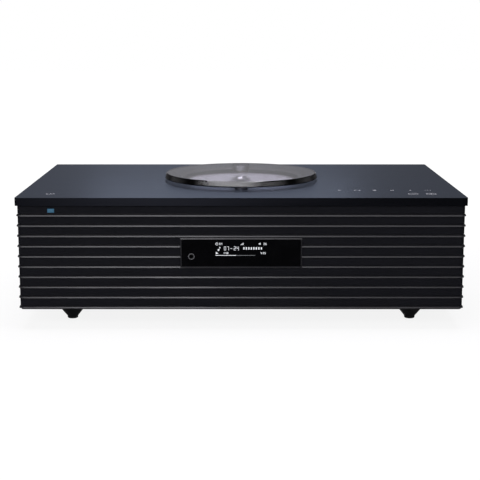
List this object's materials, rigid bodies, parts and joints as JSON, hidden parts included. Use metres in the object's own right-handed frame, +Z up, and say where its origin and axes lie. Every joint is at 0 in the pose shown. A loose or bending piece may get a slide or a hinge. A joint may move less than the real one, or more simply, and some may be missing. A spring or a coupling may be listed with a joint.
{
  "type": "all-in-one stereo system",
  "caption": "Low wide stereo cabinet wrapped in thin horizontal fins, with a thick metal top plate, a disc well under a clear swivel lid, a front display window and cone feet.",
  "frame": {"origin": "on the table under the middle of the cabinet, at the bottom of the foot pads", "axes": "+X to the right along the width, the front faces -Y, +Z up"},
  "size_m": [0.45, 0.28, 0.143],
  "materials": {
    "plate_metal": "dark anodised, hairline brushed along the width",
    "fin_black": "satin black",
    "net_black": "fine matt net",
    "case_black": "matt moulded",
    "base_black": "matt powder coat",
    "window_black": "polished",
    "panel_dark": "display panel",
    "board_green": "circuit board",
    "steel": "plain",
    "silver": "spun silver",
    "clear_acrylic": "polished clear",
    "cap_dark": "dark anodised",
    "rubber": "matt",
    "bronze": "plain",
    "cone_black": "woven cone",
    "lamp_blue": "light pipe",
    "gear_white": "moulded",
    "lens_violet": "coated lens",
    "basket_grey": "satin"
  },
  "bodies": {
    "cabinet": {"top_plate": "plate_metal", "grille_fins": "fin_black", "grille_net": "net_black", "cabinet_shell": "case_black", "base_plate": "base_black", "rear_panel": "base_black", "feet": "fin_black", "foot_pads": "rubber", "case_screws": "steel", "display_bezel": "fin_black", "display_window": "window_black", "display_module": "panel_dark", "display_board": "board_green", "headphone_jack": "steel", "status_lamp": "lamp_blue", "touch_board": "board_green", "disc_well": "silver", "lid_bush": "bronze", "lid_rest": "silver", "drive_deck": "steel", "drive_dampers": "rubber", "damper_screws": "steel", "spindle_motor": "steel", "guide_rods": "steel", "sled_motor": "steel", "speaker_box_left": "case_black", "speaker_box_right": "case_black", "woofer_left_frame": "basket_grey", "woofer_left_surround": "rubber", "woofer_right_frame": "basket_grey", "woofer_right_surround": "rubber", "tweeter_left": "basket_grey", "tweeter_right": "basket_grey", "acoustic_lenses": "case_black", "sub_frame": "basket_grey", "sub_surround": "rubber", "sub_chamber": "case_black", "port_tube": "case_black", "main_board": "board_green", "power_board": "board_green", "heat_sink": "silver", "lan_socket": "steel", "usb_socket": "steel", "aux_socket": "case_black", "antenna_socket": "steel", "ac_inlet": "case_black"},
    "lid": {"lid_disc": "clear_acrylic", "lid_post": "silver", "lid_cap": "cap_dark", "lid_clip": "steel"},
    "spindle": {"spindle_hub": "silver", "hub_mat": "rubber"},
    "sled": {"pickup_sled": "case_black"},
    "lens": {"pickup_lens": "lens_violet"},
    "gear": {"sled_gear": "gear_white"},
    "pinion": {"sled_pinion": "gear_white"},
    "woofer_left": {"woofer_left_cone": "cone_black"},
    "woofer_right": {"woofer_right_cone": "cone_black"},
    "subwoofer": {"sub_cone": "cone_black"}
  },
  "joints": [
    {"name": "lid_swivel", "type": "hinge", "parent": "cabinet", "child": "lid", "pos_m": [0, 0.073, 0.139], "axis": [0, 0, 1], "range_deg": [0, 110]},
    {"name": "spindle_spin", "type": "hinge", "parent": "cabinet", "child": "spindle", "pos_m": [0, 0, 0.129], "axis": [0, 0, 1], "continuous": true},
    {"name": "sled_travel", "type": "slide", "parent": "cabinet", "child": "sled", "axis": [0, -1, 0], "range_m": [0, 0.034]},
    {"name": "lens_focus", "type": "slide", "parent": "sled", "child": "lens", "axis": [0, 0, 1], "range_m": [-0.0004, 0.0004], "stiffness_N_per_m": 30},
    {"name": "gear_turn", "type": "hinge", "parent": "cabinet", "child": "gear", "pos_m": [0.0271, -0.0461, 0.121], "axis": [0, 0, 1], "range_deg": [-5, 440]},
    {"name": "pinion_turn", "type": "hinge", "parent": "cabinet", "child": "pinion", "pos_m": [0.03415, -0.03565, 0.12], "axis": [0, 0, 1], "range_deg": [-1095, 10]},
    {"name": "woofer_left_stroke", "type": "slide", "parent": "cabinet", "child": "woofer_left", "axis": [0, -1, 0], "range_m": [-0.002, 0.002], "stiffness_N_per_m": 1500, "deforming": ["woofer_left_surround"]},
    {"name": "woofer_right_stroke", "type": "slide", "parent": "cabinet", "child": "woofer_right", "axis": [0, -1, 0], "range_m": [-0.002, 0.002], "stiffness_N_per_m": 1500, "deforming": ["woofer_right_surround"]},
    {"name": "sub_stroke", "type": "slide", "parent": "cabinet", "child": "subwoofer", "axis": [0, 0, -1], "range_m": [-0.003, 0.003], "stiffness_N_per_m": 1500, "deforming": ["sub_surround"]}
  ],
  "couplings": [
    {"joint": "gear_turn", "follows": "sled_travel", "rad_per_m": 222.22},
    {"joint": "pinion_turn", "follows": "sled_travel", "rad_per_m": -555.56}
  ]
}
